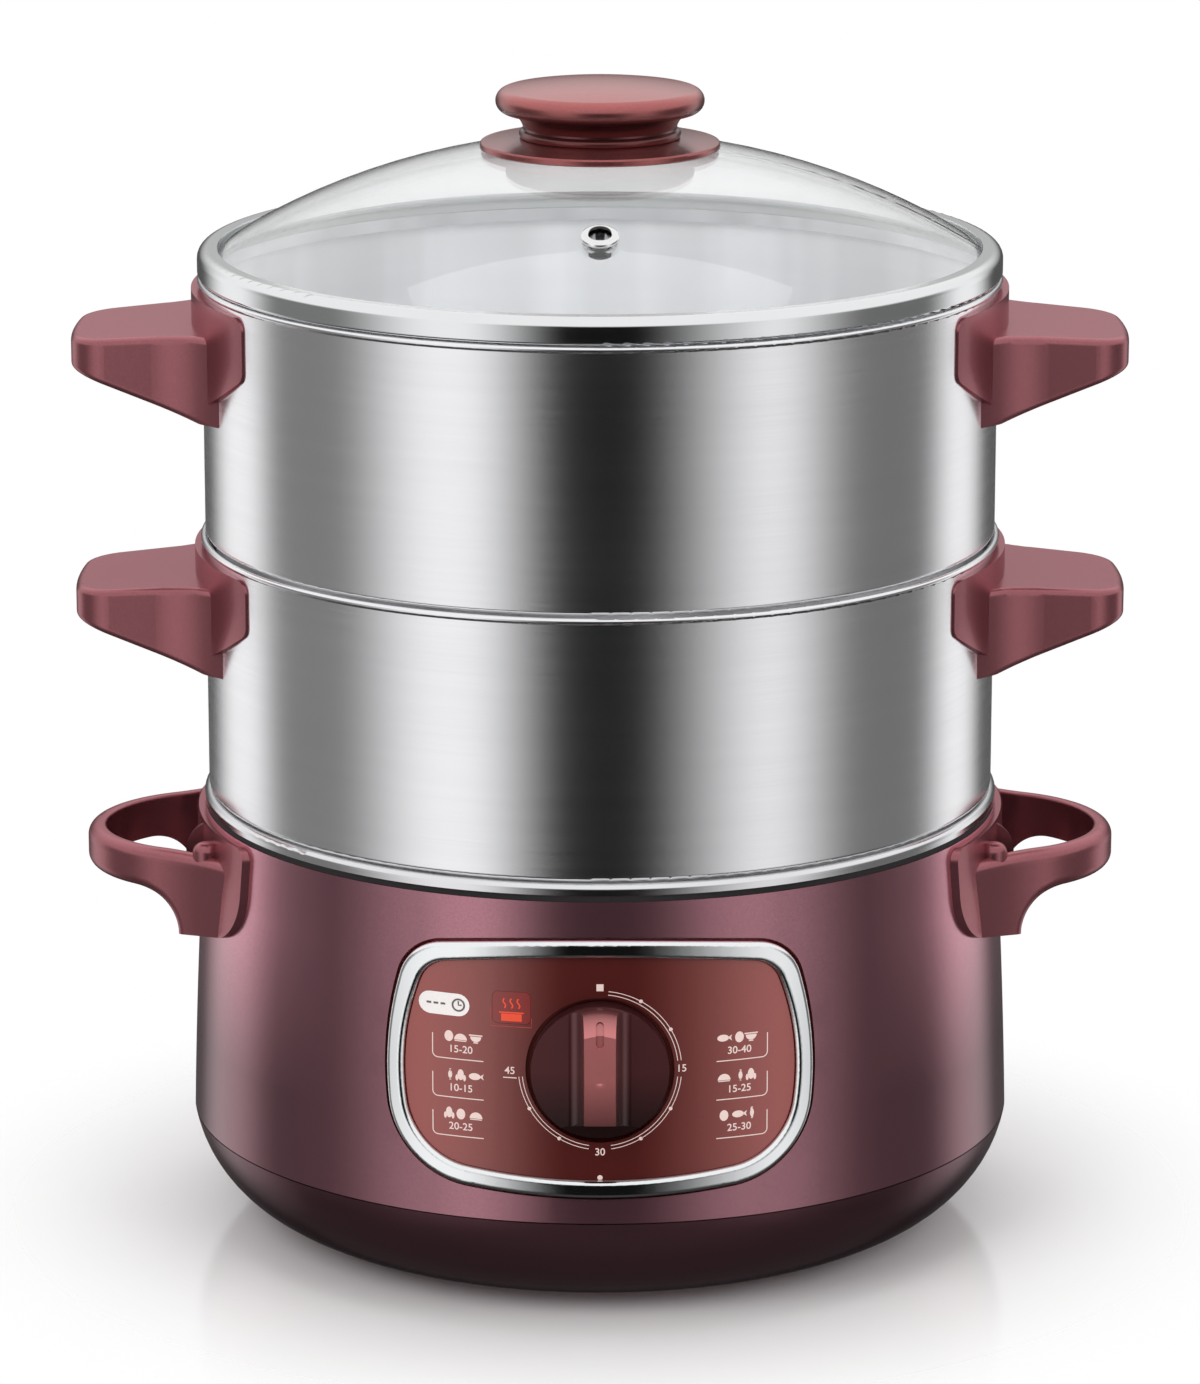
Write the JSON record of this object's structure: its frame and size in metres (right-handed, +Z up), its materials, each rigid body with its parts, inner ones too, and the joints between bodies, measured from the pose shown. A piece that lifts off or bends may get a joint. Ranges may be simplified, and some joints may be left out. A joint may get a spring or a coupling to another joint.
{
  "type": "electric food steamer",
  "caption": "Electric food steamer: plum base with timer dial and loop handles, stacked steel tiers with side handles, domed glass lid with vent and knob.",
  "frame": {"origin": "on the vertical axis of the tiers, on the surface that the feet stand on", "axes": "+Z up, -Y towards the front with the control panel, +X to the right seen from the front"},
  "size_m": [0.372, 0.3132, 0.4095],
  "materials": {
    "base_plum": "metallic-flake lacquer over moulded plastic",
    "bezel_chrome": "bright plated",
    "black_plastic": "moulded grain",
    "brass": "turned",
    "cast_aluminium": "cast",
    "dial_plum": "satin metallic plum",
    "fastener_steel": "zinc plated",
    "gasket_grey": "matt silicone",
    "handle_plum": "satin metallic plum",
    "inner_plastic": "moulded",
    "inner_steel": "plain",
    "knob_rose": "satin metallic rose",
    "lamp_glass": "neon lamp",
    "lens_red": "translucent red",
    "lid_glass": "clear tempered",
    "panel_red": "high gloss, printed from behind",
    "polished_steel": "polished",
    "rim_steel": "polished",
    "rubber_dark": "matt",
    "tank_steel": "bright",
    "tier_steel": "fine brushed round the wall"
  },
  "bodies": {
    "base": {"base_handle_left": "handle_plum", "base_handle_right": "handle_plum", "base_handle_screws": "fastener_steel", "base_housing": "base_plum", "base_pan": "base_plum", "bottom_cover": "black_plastic", "bottom_screws": "fastener_steel", "control_panel": "panel_red", "cord_gland": "rubber_dark", "feet": "rubber_dark", "heater_terminals": "fastener_steel", "heater_tube": "inner_steel", "heating_plate": "cast_aluminium", "indicator_lamp": "lamp_glass", "indicator_lens": "lens_red", "panel_bezel": "bezel_chrome", "tank_seal": "rubber_dark", "tank_yoke": "inner_steel", "terminal_block": "inner_plastic", "thermal_fuse": "inner_steel", "thermostat": "inner_steel", "timer_mechanism": "inner_plastic", "timer_screws": "fastener_steel", "water_tank": "tank_steel", "yoke_nuts": "fastener_steel", "yoke_screws": "fastener_steel"},
    "timer_dial": {"timer_knob": "dial_plum", "timer_shaft": "fastener_steel"},
    "lower_steamer": {"lower_handle_left": "handle_plum", "lower_handle_right": "handle_plum", "lower_handle_screws": "fastener_steel", "lower_handle_washers": "fastener_steel", "lower_tier": "tier_steel"},
    "upper_steamer": {"upper_handle_left": "handle_plum", "upper_handle_right": "handle_plum", "upper_handle_screws": "fastener_steel", "upper_handle_washers": "fastener_steel", "upper_tier": "tier_steel"},
    "lid": {"lid_glass": "lid_glass", "lid_rim": "rim_steel", "lid_gasket": "gasket_grey", "vent_eyelet": "polished_steel", "knob_guard": "knob_rose", "lid_knob": "knob_rose", "knob_insert": "brass", "knob_seal": "rubber_dark", "knob_washer": "polished_steel", "knob_screw": "fastener_steel"}
  },
  "joints": [
    {"name": "timer_turn", "type": "hinge", "parent": "base", "child": "timer_dial", "pos_m": [0, -0.15, 0.0935], "axis": [0, 1, 0], "range_deg": [0, 270]},
    {"name": "lower_tier_lift", "type": "slide", "parent": "base", "child": "lower_steamer", "axis": [0, 0, 1], "range_m": [0, 0.12]},
    {"name": "upper_tier_lift", "type": "slide", "parent": "lower_steamer", "child": "upper_steamer", "axis": [0, 0, 1], "range_m": [0, 0.12]},
    {"name": "lid_lift", "type": "slide", "parent": "upper_steamer", "child": "lid", "axis": [0, 0, 1], "range_m": [0, 0.12]}
  ]
}
